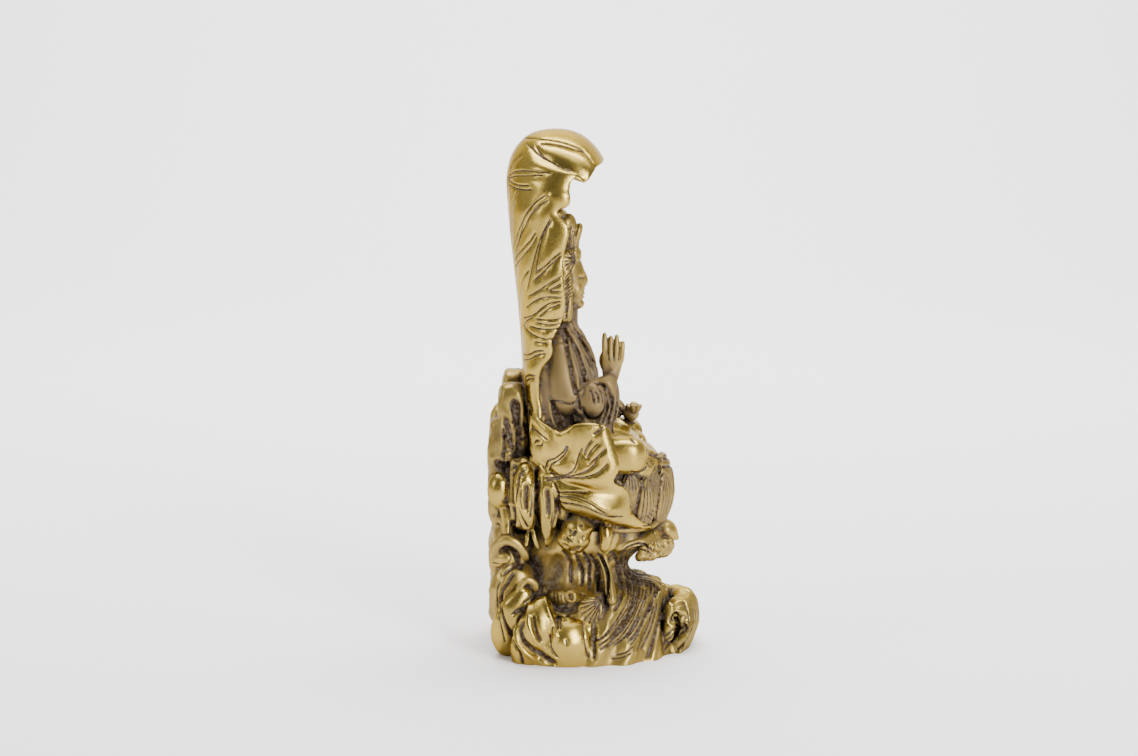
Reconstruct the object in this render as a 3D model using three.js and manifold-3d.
// A cast brass figure of the bodhisattva Guanyin, seated on a lotus inside a tall curled lotus leaf.
// Rock columns and breaking waves carry the seat. The whole work is one casting with a flat underside.
// Millimetres, +Z up. The figure faces +X, and +Y is its own left. The origin is on the underside.
import * as THREE from "three";
import { mergeVertices } from "three/addons/utils/BufferGeometryUtils.js";
import Module from "manifold-3d";

const wasm = await Module();
wasm.setup();

// Driving sizes. The free forms below are drawn for a casting DRAWN_HEIGHT tall and scale with HEIGHT.
const HEIGHT = 260;
const DRAWN_HEIGHT = 260;
const LEAF_THICKNESS = 2.8;
const PETAL_THICKNESS = 3.4;
const SLEEVE_THICKNESS = 2.6;
// Where forms are joined, edges shorter than this are melted together.
const JOIN_TOLERANCE = 0.4;

const scale = HEIGHT / DRAWN_HEIGHT;
const leafWall = LEAF_THICKNESS / scale;
const petalWall = PETAL_THICKNESS / scale;
const sleeveWall = SLEEVE_THICKNESS / scale;

const SIDE_RIGHT = -1;
const SIDE_LEFT = 1;
const SIDES = [SIDE_RIGHT, SIDE_LEFT];
const LATERAL = new THREE.Vector3(0, 1, 0);
const UPWARD = new THREE.Vector3(0, 0, 1);

const radians = THREE.MathUtils.degToRad;
const mix = THREE.MathUtils.lerp;
const clamp01 = (t) => THREE.MathUtils.clamp(t, 0, 1);

// Shared modelling tools

// A closed geometry as a solid that can be joined and cut.
const WELD_DISTANCE = 1e-4;

function solid(geometry) {
  geometry.deleteAttribute("normal");
  geometry.deleteAttribute("uv");
  const merged = mergeVertices(geometry, WELD_DISTANCE);
  const corners = merged.index.array;
  const kept = [];
  for (let i = 0; i < corners.length; i += 3) {
    const [a, b, c] = [corners[i], corners[i + 1], corners[i + 2]];
    if (a !== b && b !== c && c !== a) kept.push(a, b, c);
  }
  return new wasm.Manifold(
    new wasm.Mesh({
      numProp: 3,
      vertProperties: new Float32Array(merged.attributes.position.array),
      triVerts: new Uint32Array(kept),
      tolerance: JOIN_TOLERANCE,
    }),
  );
}

// Moves every vertex of a geometry to where place(vertex) says.
function mould(geometry, place) {
  const position = geometry.attributes.position;
  const vertex = new THREE.Vector3();
  for (let i = 0; i < position.count; i++) {
    vertex.fromBufferAttribute(position, i);
    const { x, y, z } = place(vertex);
    position.setXYZ(i, x, y, z);
  }
  return geometry;
}

// A smooth run of number rows through stations, at a share of its length.
function between(stations, share) {
  const at = clamp01(share) * (stations.length - 1);
  const i = Math.min(Math.floor(at), stations.length - 2);
  const t = at - i;
  const [p0, p1] = [stations[Math.max(i - 1, 0)], stations[i]];
  const [p2, p3] = [stations[i + 1], stations[Math.min(i + 2, stations.length - 1)]];
  return p1.map((b, k) => {
    const [a, c, d] = [p0[k], p2[k], p3[k]];
    const bend = (2 * a - 5 * b + 4 * c - d) * t * t + (3 * b - a - 3 * c + d) * t ** 3;
    return 0.5 * (2 * b + (c - a) * t + bend);
  });
}

// A sphere pulled along stations of [x, y, z, radius along wide, radius across it], with rounded ends.
// carve(share, turn) multiplies its radii, with turn going once round the stations.
function limb(stations, { wide = LATERAL, sides = 6, rings = 5, blunt = 5, carve = () => 1 } = {}) {
  const step = 0.01;
  return solid(
    mould(new THREE.SphereGeometry(1, sides, rings), (v) => {
      const share = Math.acos(THREE.MathUtils.clamp(-v.y, -1, 1)) / Math.PI;
      const [x, y, z, wideRadius, deepRadius] = between(stations, share);
      const before = between(stations, share - step);
      const after = between(stations, share + step);
      const along = new THREE.Vector3(...after).sub(new THREE.Vector3(...before)).normalize();
      const deep = along.clone().cross(wide).normalize();
      const broad = deep.clone().cross(along);
      const ring = new THREE.Vector2(v.x, v.z);
      if (ring.length() > WELD_DISTANCE) ring.normalize();
      const end = Math.sqrt(Math.max(0, 1 - Math.abs(2 * share - 1) ** blunt));
      const round = end * carve(share, Math.atan2(ring.x, ring.y) / (2 * Math.PI));
      return new THREE.Vector3(x, y, z)
        .addScaledVector(broad, -ring.x * wideRadius * round)
        .addScaledVector(deep, ring.y * deepRadius * round);
    }),
  );
}

// An ellipsoid with radii [x, y, z] about a centre, squarer as its power goes above 2.
function boulder([cx, cy, cz], [rx, ry, rz], { power = 2, sides = 8, rings = 5 } = {}) {
  return solid(
    mould(new THREE.SphereGeometry(1, sides, rings).rotateX(Math.PI / 2), (v) => {
      const sum = [v.x, v.y, v.z].reduce((total, part) => total + Math.abs(part) ** power, 0);
      const swell = sum ** (-1 / power);
      return new THREE.Vector3(cx + v.x * swell * rx, cy + v.y * swell * ry, cz + v.z * swell * rz);
    }),
  );
}

// An upright post with a rounded top and foot: its middle, its half sizes [x, y, z] and how rounded it is.
const POST_CROWN = 0.7;

function post([cx, cy, cz], [rx, ry, rz], rounding, sides = 6) {
  const ease = rounding / rz;
  const profile = [[0, -1], [POST_CROWN, -1], [1, ease - 1], [1, 1 - ease], [POST_CROWN, 1], [0, 1]];
  const turned = new THREE.LatheGeometry(profile.map(([r, h]) => new THREE.Vector2(r, h)), sides);
  return solid(mould(turned, (v) => new THREE.Vector3(cx + v.x * rx, cy - v.z * ry, cz + v.y * rz)));
}

// A round mass through rows of [z, back x, front x, half width], with more of its sides towards the front.
// carve(height, fromFront) gives what its radius is multiplied by and what is added to its height.
const FRONT_CROWDING = 0.5;

function mass(rows, sides, carve) {
  const blank = new THREE.CylinderGeometry(1, 1, 1, sides, rows.length - 1).rotateX(Math.PI / 2);
  return solid(
    mould(blank, (v) => {
      const height = v.z + 0.5;
      const [z, back, front, halfWidth] = between(rows, height);
      const even = Math.atan2(v.y, v.x);
      const angle = even - FRONT_CROWDING * Math.sin(even);
      const [swell, lift] = carve(height, Math.abs(angle) / Math.PI);
      const reach = Math.hypot(v.x, v.y) * swell;
      const x = (back + front) / 2 + ((front - back) / 2) * reach * Math.cos(angle);
      return new THREE.Vector3(x, halfWidth * reach * Math.sin(angle), z + lift);
    }),
  );
}

// A sheet of a given wall whose middle follows face(u, v), with u and v from 0 to 1.
function sheet(face, wall, across, along) {
  const step = 1e-3;
  return solid(
    mould(new THREE.BoxGeometry(1, 1, 1, across, along, 1), (p) => {
      const [u, v] = [p.x + 0.5, p.y + 0.5];
      const du = face(u + step, v).sub(face(u - step, v));
      const dv = face(u, v + step).sub(face(u, v - step));
      return face(u, v).addScaledVector(du.cross(dv).normalize(), p.z * wall(v));
    }),
  );
}

const join = (solids) => solids.reduce((whole, next) => whole.add(next));
const bothSides = (make) => SIDES.flatMap((side) => make(side));
const atSide = (side, stations) => stations.map(([x, y, ...rest]) => [x, side * y, ...rest]);

// Lotus leaf

// Upper leaf, from the stem up the back and over the head:
// rows of [x, z of its back, x, z of its edge, half width].
const LEAF_ROWS = [
  [-30, 92, -25, 93, 30], [-32, 106, -26, 106, 32], [-33.4, 120, -26, 120, 33],
  [-34.4, 132, -27.5, 132, 32.5], [-34.8, 143, -26.6, 143, 34.5], [-35.2, 151, -21.2, 151.6, 37],
  [-35.6, 158.5, -21, 159, 38],
  [-36.3, 167, -16.6, 167.5, 39.5], [-37.2, 177, -14.8, 178, 41], [-38.4, 188, -15.8, 189, 41.5],
  [-39.7, 200, -15.2, 201, 41], [-40.9, 211, -12.8, 212.6, 40.5], [-41.5, 220, -18.4, 220.4, 38.6],
  [-42.1, 228, -12.4, 226.4, 38.5], [-42.2, 236, -12.8, 232.4, 37], [-40.4, 244.4, -9, 237.4, 35],
  [-36.9, 250.6, -4.6, 234.8, 33.6], [-31, 255.6, -1.4, 238.6, 31], [-22.5, 257.9, 0, 241, 27],
  [-13, 257.4, 1.6, 242, 21.5], [-5.4, 254, 2.8, 242.4, 14.5], [0.4, 248.4, 3.6, 243, 6.5],
  [3, 243.8, 3.8, 243, 2.5],
];
const LEAF_CURL = radians(98);
const LEAF_ACROSS = 10;
const LEAF_ALONG = 18;

function upperLeaf() {
  const face = (u, v) => {
    const [backX, backZ, edgeX, edgeZ, halfWidth] = between(LEAF_ROWS, v);
    const angle = (2 * u - 1) * LEAF_CURL;
    const share = (1 - Math.cos(angle)) / (1 - Math.cos(LEAF_CURL));
    const y = -halfWidth * Math.sin(angle);
    return new THREE.Vector3(mix(backX, edgeX, share), y, mix(backZ, edgeZ, share));
  };
  return sheet(face, () => leafWall, LEAF_ACROSS, LEAF_ALONG);
}

// Wing of the lower leaf on each side, from the stem round to the front: rows of [x, y, z] from its lower
// margin, over the lower lobe and the crease, to its rim.
const WING_ROWS = [
  [[-31, 28, 95], [-24, 37, 90], [-16, 40.5, 78], [-7, 42, 74.5], [5, 40, 70.5], [17, 33, 66.5],
    [28.5, 20, 63]],
  [[-31, 31, 101], [-24, 39.5, 97], [-16, 44, 88], [-7, 45.5, 84], [3, 45, 80.5], [11, 42, 79],
    [15.4, 38.5, 80.5]],
  [[-31, 30, 110], [-24, 38, 106], [-16, 42, 99], [-7, 43.5, 97], [0, 43.5, 96], [6, 43, 95.6],
    [10.4, 42, 96]],
  [[-31, 30, 121], [-25, 38, 117], [-17.5, 42.5, 113.4], [-9.5, 45, 117.6], [-2, 45, 118], [3.5, 44, 116.6],
    [8, 42, 114.6]],
];
const WING_ALONG = 8;
const WING_UP = 5;

function lowerLeaf(side) {
  const face = (u, v) => {
    const [x, y, z] = between(WING_ROWS.map((row) => between(row, side > 0 ? 1 - u : u)), v);
    return new THREE.Vector3(x, side * y, z);
  };
  return sheet(face, () => leafWall, WING_ALONG, WING_UP);
}

// Seated figure. Each row of these tables is [x, y, z, radius across the body, radius through it].

const BODY = [
  [-13, 0, 96, 27, 18], [-14, 0, 112, 25, 17], [-14, 0, 126, 24, 16.5], [-15.5, 0, 139, 24, 14.5],
  [-17, 0, 151, 22.5, 11.5], [-16.5, 0, 159, 15, 8.5], [-14.5, 0, 167, 6.8, 6.2], [-14, 0, 176, 6, 5.8],
];
// Round forms are a middle and its radii.
const LAP = [[-3, 0, 99], [27, 38, 13]];

function torso() {
  const body = limb(BODY, { sides: 12, rings: 9, blunt: 14 });
  return [body, boulder(...LAP, { power: 2.5, sides: 10 })];
}

// Lapels of the robe, which cross below the throat, and the edge of the mantle from each shoulder.
const LAPEL = [
  [-13, 8.5, 164, 1.6, 1.4], [-6.5, 7, 156, 1.8, 1.6], [-1.5, 3, 146, 1.8, 1.6], [1.5, -1, 134, 1.8, 1.6],
];
const MANTLE = [
  [-14, 13, 162, 1.8, 1.6], [-8.5, 16, 152, 2.2, 2], [-5, 17.5, 140, 2.2, 2], [-2.5, 18, 128, 2, 1.8],
];

const robeEdges = (side) => [LAPEL, MANTLE].map((edge) => limb(atSide(side, edge), { sides: 5, rings: 4 }));

const FACE = [
  [-13.6, 0, 172, 4.6, 5.4], [-13, 0, 177, 7, 7.8], [-14.4, 0, 184, 8.8, 10], [-15.4, 0, 192, 9, 10],
  [-16.2, 0, 201, 8, 8.6],
];
const NOSE = [[-6.4, 0, 190.5, 1, 1.4], [-5.2, 0, 185, 1.6, 2], [-6, 0, 182.6, 1.6, 1.6]];
const HAIR = [[-18, 0, 190], [11.8, 11, 12]];
const SIDE_LOCK = [[-15.6, 9.6, 189, 1.8, 3.4], [-17, 10.2, 177, 1.8, 3.4], [-19.6, 12.5, 165, 2.2, 3.2]];

function head() {
  const face = limb(FACE, { sides: 12, rings: 7, blunt: 7 });
  const nose = limb(NOSE, { sides: 5, rings: 4 });
  const hair = boulder(...HAIR, { sides: 10, rings: 6 });
  return [face, nose, hair, ...SIDES.map((side) => limb(atSide(side, SIDE_LOCK)))];
}

// The high knot of hair, the veil drawn over it, the ornament before it and the diadem round the brow.
const KNOT = [
  [-16, 0, 198, 8, 7], [-15, 0, 206, 7.2, 6.2], [-14.6, 0, 213, 6.6, 5.6], [-15.5, 0, 217, 4.4, 4],
];
const VEIL = [
  [-24, 0, 196, 9.4, 4.4], [-22.5, 0, 208, 8.6, 4.6], [-19.5, 0, 216, 7.6, 4], [-14.5, 0, 217.6, 6, 2.2],
];
const ORNAMENT = [
  [-7.4, 0, 196.5, 3, 1.8], [-8.2, 0, 206, 4.2, 1.5], [-7, 0, 211, 3.4, 1.5], [-5.8, 0, 212.6, 1.8, 1.2],
];
const DIADEM = [[-6.2, -1.5, 196.6, 1.5, 1.8], [-8.6, 5.6, 196.4, 1.5, 1.8], [-14.5, 9.4, 194.5, 1.5, 1.8]];

function topknot() {
  const hair = [KNOT, VEIL].map((stations) => limb(stations, { sides: 8 }));
  const band = SIDES.map((side) => limb(atSide(side, DIADEM), { wide: UPWARD, sides: 5, rings: 4 }));
  return [...hair, limb(ORNAMENT), ...band];
}

// Right arm, bent at the elbow to the raised hand, in a wide sleeve whose mouth hangs to the lap.
const RIGHT_UPPER_ARM = [
  [-18, -18, 154, 8, 8], [-17, -24, 143, 8.5, 9], [-14, -28, 131, 8, 9.5], [-8, -30, 124, 7, 8],
];
const RIGHT_FOREARM = [
  [-11, -30, 125, 7, 8.5], [-2, -29.5, 129, 6.6, 8.5], [4.5, -27.5, 134, 5, 6.5], [9, -25, 140.5, 2.8, 3],
];
const SLEEVE_HEM = [[-9, -31.5, 118], [0, -32.5, 112], [8, -31, 112]];
const SLEEVE_TOP = [[-11, -29.5, 128], [0, -29, 132], [9, -25, 139]];
const SLEEVE_WAVES = 2.5;
const SLEEVE_WAVE_DEPTH = 1.2;
const CUFF = [[-1.6, -34.5, 129.5], [5.2, 4.4, 5.8]];
const WRIST_FOLDS = [
  [[9, -24, 138, 1.5, 2], [10, -26, 127, 1.6, 2.2], [7, -27, 112, 1.4, 1.8]],
  [[8, -27.4, 137, 1.5, 2], [8, -29.4, 127, 1.6, 2.2], [4.6, -30.4, 112, 1.4, 1.8]],
];

function rightArm() {
  const arm = [RIGHT_UPPER_ARM, RIGHT_FOREARM].map((stations) => limb(stations, { sides: 8 }));
  const sleeve = sheet(
    (u, v) => {
      const [x, y, z] = between([between(SLEEVE_HEM, u), between(SLEEVE_TOP, u)], v);
      const wave = SLEEVE_WAVE_DEPTH * Math.sin(2 * Math.PI * SLEEVE_WAVES * u) * (1 - v / 2);
      return new THREE.Vector3(x, y + wave, z);
    },
    () => sleeveWall, 8, 2,
  );
  const folds = WRIST_FOLDS.map((stations) => limb(stations, { sides: 5, rings: 4 }));
  return [...arm, sleeve, boulder(...CUFF), ...folds];
}

// Raised right hand: its palm, its thumb and four fingers held upright, as [x, y, tip z, radius].
const PALM = [[7.8, -24.4, 137, 2.6, 2.9], [8, -24.2, 143, 2.3, 4.6], [8.1, -24, 149.5, 2, 5.2]];
const THUMB = [[4.8, -22.8, 142, 1.5, 1.5], [3.4, -21, 146.5, 1.5, 1.5], [4.4, -20.2, 151, 1.2, 1.2]];
const FINGERS = [
  [4.2, -23.6, 158.6, 1.35], [7.2, -24.6, 158.8, 1.45], [9.8, -24.6, 157.8, 1.4], [12, -24, 153.8, 1.2],
];
const KNUCKLE_Z = 146.5;
const MIDDLE_JOINT_Z = 152;
const FINGER_TAPER = 0.85;

function rightHand() {
  const [palmX] = PALM[1];
  const fingers = FINGERS.map(([x, y, tip, radius]) => {
    const root = [mix(x, palmX, 0.2), y, KNUCKLE_Z, radius, radius];
    const end = [x, y, tip, radius * FINGER_TAPER, radius * FINGER_TAPER];
    return limb([root, [x, y, MIDDLE_JOINT_Z, radius, radius], end], { rings: 4 });
  });
  return [limb(PALM, { sides: 7 }), limb(THUMB, { rings: 4 }), ...fingers];
}

// Left arm, lowered so that the hand rests on the knee and holds a lotus bud.
const LEFT_UPPER_ARM = [
  [-18, 18, 154, 8, 8], [-17, 24, 143, 8.5, 9], [-13, 28, 131, 8, 9.5], [-6, 29, 122, 7, 8],
];
const LEFT_FOREARM = [
  [-9, 29, 124, 7, 8], [2, 28, 119, 6.4, 7], [11, 25, 116, 4.6, 5.4], [16, 23, 115, 3, 3.2],
];
const LEFT_DRAPE = [[-2, 32, 118, 3, 7], [4, 33, 110, 2.6, 6], [8, 33, 101, 2, 4]];
const FIST = [[18.6, 22.4, 113.6], [4.4, 4.6, 3.6]];
const BUD = [[20.6, 20.2, 117.4], [3.2, 3, 3.6]];

function leftArm() {
  const arm = [LEFT_UPPER_ARM, LEFT_FOREARM].map((stations) => limb(stations, { sides: 8 }));
  const hand = [boulder(...FIST, { sides: 7 }), boulder(...BUD, { sides: 6, rings: 4 })];
  return [...arm, ...hand, limb(LEFT_DRAPE)];
}

// Crossed legs under the robe: the knee, the shin that runs to the middle and the fold over the thigh.
const KNEE_RADII = [13.4, 11.5, 9];
const KNEE_MIDDLE = [11.5, 29, 101.5];
const SHIN = [[13, 30, 100, 8, 8], [19, 18, 99, 7.5, 8], [20, 5, 98.5, 7, 6.5]];
const THIGH_FOLD = [[2, 24, 112, 2, 2], [11, 20, 110.5, 2, 1.8], [19, 13, 106.5, 1.8, 1.6]];

function legs(side) {
  const [middle] = atSide(side, [KNEE_MIDDLE]);
  const knee = boulder(middle, KNEE_RADII, { power: 2.6, sides: 9, rings: 6 });
  const shin = limb(atSide(side, SHIN), { wide: UPWARD, sides: 8 });
  return [knee, shin, limb(atSide(side, THIGH_FOLD), { sides: 5 })];
}

// Lotus seat, carved with a ring of upright petals: [z, back x, front x, half width].
const SEAT_ROWS = [
  [56, -24, 24, 24], [62, -29, 33, 31], [71, -30, 36, 36], [80, -31, 36.6, 37.5], [88, -31, 35, 36],
  [93, -30, 31, 33],
];
const SEAT_SIDES = 30;
const PETAL_COUNT = 7;
const PETAL_RELIEF = 0.08;
const PETAL_POINT = 4;
// The tall petal that stands free before the seat: [x, z, half width] from its foot to its tip.
const FRONT_PETAL = [
  [33, 60, 7], [36.6, 68, 10], [38.4, 77, 11.2], [37.6, 86, 9.6], [34.6, 94, 6], [32.2, 99.4, 1.6],
];
const PETAL_CUP = 0.03;

function lotusSeat() {
  const seat = mass(SEAT_ROWS, SEAT_SIDES, (height, fromFront) => {
    const petal = Math.abs(Math.cos(Math.PI * PETAL_COUNT * fromFront));
    const swell = 1 + PETAL_RELIEF * (Math.sqrt(petal) - 0.6) * clamp01(4 * height);
    return [swell, PETAL_POINT * (petal - 0.5) * clamp01(3 * height - 1.6)];
  });
  const petal = sheet(
    (u, v) => {
      const [x, z, halfWidth] = between(FRONT_PETAL, v);
      const y = (1 - 2 * u) * halfWidth;
      return new THREE.Vector3(x - PETAL_CUP * y * y, y, z);
    },
    () => petalWall, 4, 6,
  );
  return [seat, petal];
}

// Waves and foam

// The swell that carries everything, from under the ground to the seat: [z, back x, front x, half width].
const SWELL_ROWS = [
  [-6, -44, 46, 50], [4, -44, 43, 50], [13, -44, 38.5, 48], [22, -44, 36.5, 43], [29, -43, 36, 39],
  [32.4, -42, 31, 35], [34.6, -41, 21.5, 31], [38, -40, 17.2, 28], [43, -40, 17.2, 27],
  [47.5, -40, 21.5, 28.5], [54, -38, 28, 33], [64, -34, 30, 33],
];
const SWELL_SIDES = 36;
// Ribs of water run down the swell and sweep back round it as they fall.
const RIB_COUNT = 8;
const RIB_DEPTH = 0.06;
const RIB_SWEEP = 0.3;

function swell() {
  return mass(SWELL_ROWS, SWELL_SIDES, (height, fromFront) => {
    const swept = fromFront - RIB_SWEEP * (1 - height) ** 2;
    return [1 + RIB_DEPTH * clamp01(2.4 - 3 * fromFront) * Math.cos(2 * Math.PI * RIB_COUNT * swept), 0];
  });
}

// The crest that curls forward under the seat, its pointed beak, and the clotted foam along its lip.
const CREST = [[2, 0, 50, 27, 7], [14, 0, 54.5, 28, 6.5], [25, 0, 56, 25, 6.5], [34, 0, 55, 16, 6]];
const BEAK = [[33, 0, 61, 10, 6], [38.6, 0, 57, 8, 5], [42, 0, 53, 5, 3.4], [44, 0, 50.6, 2, 1.2]];
const FOAM = [
  [22, -25, 52, 5, 4.6], [32, -14, 51, 5.2, 5.2], [36.5, 0, 50, 5.4, 5.6], [32, 14, 51, 5.2, 5.2],
  [22, 25, 52, 5, 4.6],
];
const FOAM_CLOTS = 6.5;
const FOAM_RELIEF = 0.24;

function crest() {
  const clots = (share, turn) => {
    const around = 0.4 * Math.cos(6 * Math.PI * turn);
    return 1 + FOAM_RELIEF * (around - Math.cos(2 * Math.PI * FOAM_CLOTS * share));
  };
  const foam = limb(FOAM, { wide: UPWARD, sides: 7, rings: 13, carve: clots });
  return [limb(CREST, { sides: 10 }), limb(BEAK), foam];
}

// The tall drop of water that hangs over the ribs on each side, below the leaf.
const DROP = [[2.5, 30, 62, 2.4, 3], [4, 29, 48, 2.4, 2.6], [8, 33, 36, 2.6, 2.6], [9.5, 39, 25, 3.4, 3.6]];

const waterDrop = (side) => limb(atSide(side, DROP), { rings: 6 });

// The breaker at the front of the base, which curls back over its own hollow: [x, z, thickness].
const BREAKER = [
  [40, -6, 9], [47, 3, 7], [51, 12, 5], [51.3, 20, 4.2], [47.5, 25.4, 3.6], [42, 25.6, 2.8], [39.6, 21.8, 2],
];
const BREAKER_HALF_WIDTH = 24;
const BREAKER_BEND = 9;
const BREAKER_FALL = 0.3;
const TONGUE = [[34, 24, 2, 4, 5], [37, 22, 14, 3, 4], [39, 19, 25, 2, 2.6]];

function frontBreaker() {
  const curl = sheet(
    (u, v) => {
      const [x, z] = between(BREAKER, v);
      const outward = (1 - 2 * u) ** 2;
      const height = z * (1 - BREAKER_FALL * outward);
      return new THREE.Vector3(x - BREAKER_BEND * outward, (1 - 2 * u) * BREAKER_HALF_WIDTH, height);
    },
    (v) => between(BREAKER, v)[2], 6, 5,
  );
  return [curl, ...SIDES.map((side) => limb(atSide(side, TONGUE), { rings: 4 }))];
}

// The rolled waves at each side of the base, and the shell that lies on the right one.
const SIDE_ROLLS = [
  [[-40, 22, 0, 8, 9], [-42, 31, 13, 7, 9], [-38, 37, 25, 5, 8], [-30, 36, 37, 4, 5]],
  [[-32, 34, -2, 9, 10], [-31, 43, 10, 7, 9], [-27, 45, 21, 6, 8], [-22, 40, 31, 4, 4.5]],
  [[-17, 40, -5, 10, 14], [-16, 46, 7, 9, 14], [-17, 46.5, 17, 7.6, 11], [-19, 43, 27, 4.5, 6]],
  [[-3, 42, -4, 10, 8], [-2, 48, 6, 7, 6], [-3.5, 47, 15, 4.6, 4.6], [-5, 44, 21, 3, 3]],
];

const SHELL = [[-1.5, -42, 24.5], [7.2, 4.6, 6.6]];

const sideBreaker = (side) => SIDE_ROLLS.map((roll) => limb(atSide(side, roll), { sides: 7, rings: 4 }));
const fanShell = () => boulder(...SHELL, { rings: 4 });

// The gaping fish that rides on the right breaker.
const FISH = [[-24, -33, 31, 3.6, 4.2], [-18, -38, 28, 4, 4.8], [-12, -43, 27, 4, 4.8]];
const GAPE = [[-14, -41, 27.2, 2.2, 2.8], [-10, -45, 27, 2.2, 2.8], [-6, -49, 26.8, 2.2, 2.8]];

function gapingFish() {
  const body = limb(FISH, { wide: UPWARD, sides: 7 });
  return body.subtract(limb(GAPE, { wide: UPWARD, rings: 3, blunt: 12 }));
}

// Rocks

// Upright columns at the back: [x, y, foot z, top z, half depth, half width].
const ROCK_COLUMNS = [
  [-40.5, -15, 84, 136, 6.6, 10], [-40, 10, 80, 138, 6.8, 11], [-45.5, -14, 66, 119.4, 8, 9.6],
  [-44.5, 12, 58, 121, 8.4, 11], [-36, -30, 62, 100, 7, 8], [-38, 32, 58, 106, 8, 8.6],
];
const ROCK_ROUNDING = 3.6;
// Bulging boulders between the columns and the foot: [x, y, z, radius x, radius y, radius z].
const BOULDERS = [
  [-45.4, -17, 80, 9, 9, 13], [-45, 11, 76, 9.2, 12, 16], [-43, 0, 52, 11, 30, 17],
  [-41.6, -18, 28, 12.4, 15, 20], [-41, 19, 25, 12.6, 15, 22], [-26, 0, 84, 12, 29, 24],
];
// Tapering rocks that hang under the leaf on each side: [x, y, top z, foot z, radius].
const HANGING_ROCKS = [
  [-36.5, 32, 92, 58, 5.6], [-25, 37, 92, 53, 7], [-9.5, 37, 66, 43, 6.8], [5.5, 33, 64, 45, 3.6],
];
const HANGING_LEAN = 4;
const HANGING_TAPER = 0.6;

function rocks() {
  const columns = ROCK_COLUMNS.map(([x, y, foot, top, deep, wide]) =>
    post([x, y, (foot + top) / 2], [deep, wide, (top - foot) / 2], ROCK_ROUNDING),
  );
  const lumps = BOULDERS.map(([x, y, z, ...radii]) => boulder([x, y, z], radii, { power: 2.4, sides: 7 }));
  return [...columns, ...lumps];
}

function hangingRocks(side) {
  return HANGING_ROCKS.map(([x, y, top, foot, radius]) => {
    const root = [x, y - HANGING_LEAN, top, radius, radius];
    const tip = [x + 1, y - HANGING_LEAN, foot, radius * HANGING_TAPER, radius * HANGING_TAPER];
    return limb(atSide(side, [root, [x, y, mix(top, foot, 0.45), radius, radius], tip]), { rings: 4 });
  });
}

// The whole casting

const forms = [
  upperLeaf(), ...bothSides(lowerLeaf),
  ...torso(), ...bothSides(robeEdges), ...head(), ...topknot(),
  ...rightArm(), ...rightHand(), ...leftArm(), ...bothSides(legs),
  ...lotusSeat(), swell(), ...crest(), ...bothSides(waterDrop),
  ...frontBreaker(), ...bothSides(sideBreaker), fanShell(), gapingFish(),
  ...rocks(), ...bothSides(hangingRocks),
];
const CUT_SIZE = 2 * DRAWN_HEIGHT;
const ground = new THREE.BoxGeometry(CUT_SIZE, CUT_SIZE, CUT_SIZE).translate(0, 0, -CUT_SIZE / 2);
const joined = join(forms).subtract(solid(ground));
// Hollows sealed between the forms are filled: only the outer skin is kept.
const casting = join(joined.decompose().filter((skin) => skin.volume() > 0));

function geometryOf(made) {
  const mesh = made.getMesh();
  const geometry = new THREE.BufferGeometry();
  geometry.setAttribute("position", new THREE.BufferAttribute(mesh.vertProperties, 3));
  geometry.setIndex(new THREE.BufferAttribute(mesh.triVerts, 1));
  geometry.scale(scale, scale, scale);
  return geometry;
}

const brass = new THREE.MeshStandardMaterial({ color: 0xa88a45, roughness: 0.32, metalness: 1 });
const figure = new THREE.Mesh(geometryOf(casting), brass);
figure.name = "guanyin_figure";

const group = new THREE.Group();
group.add(figure);
export default group;
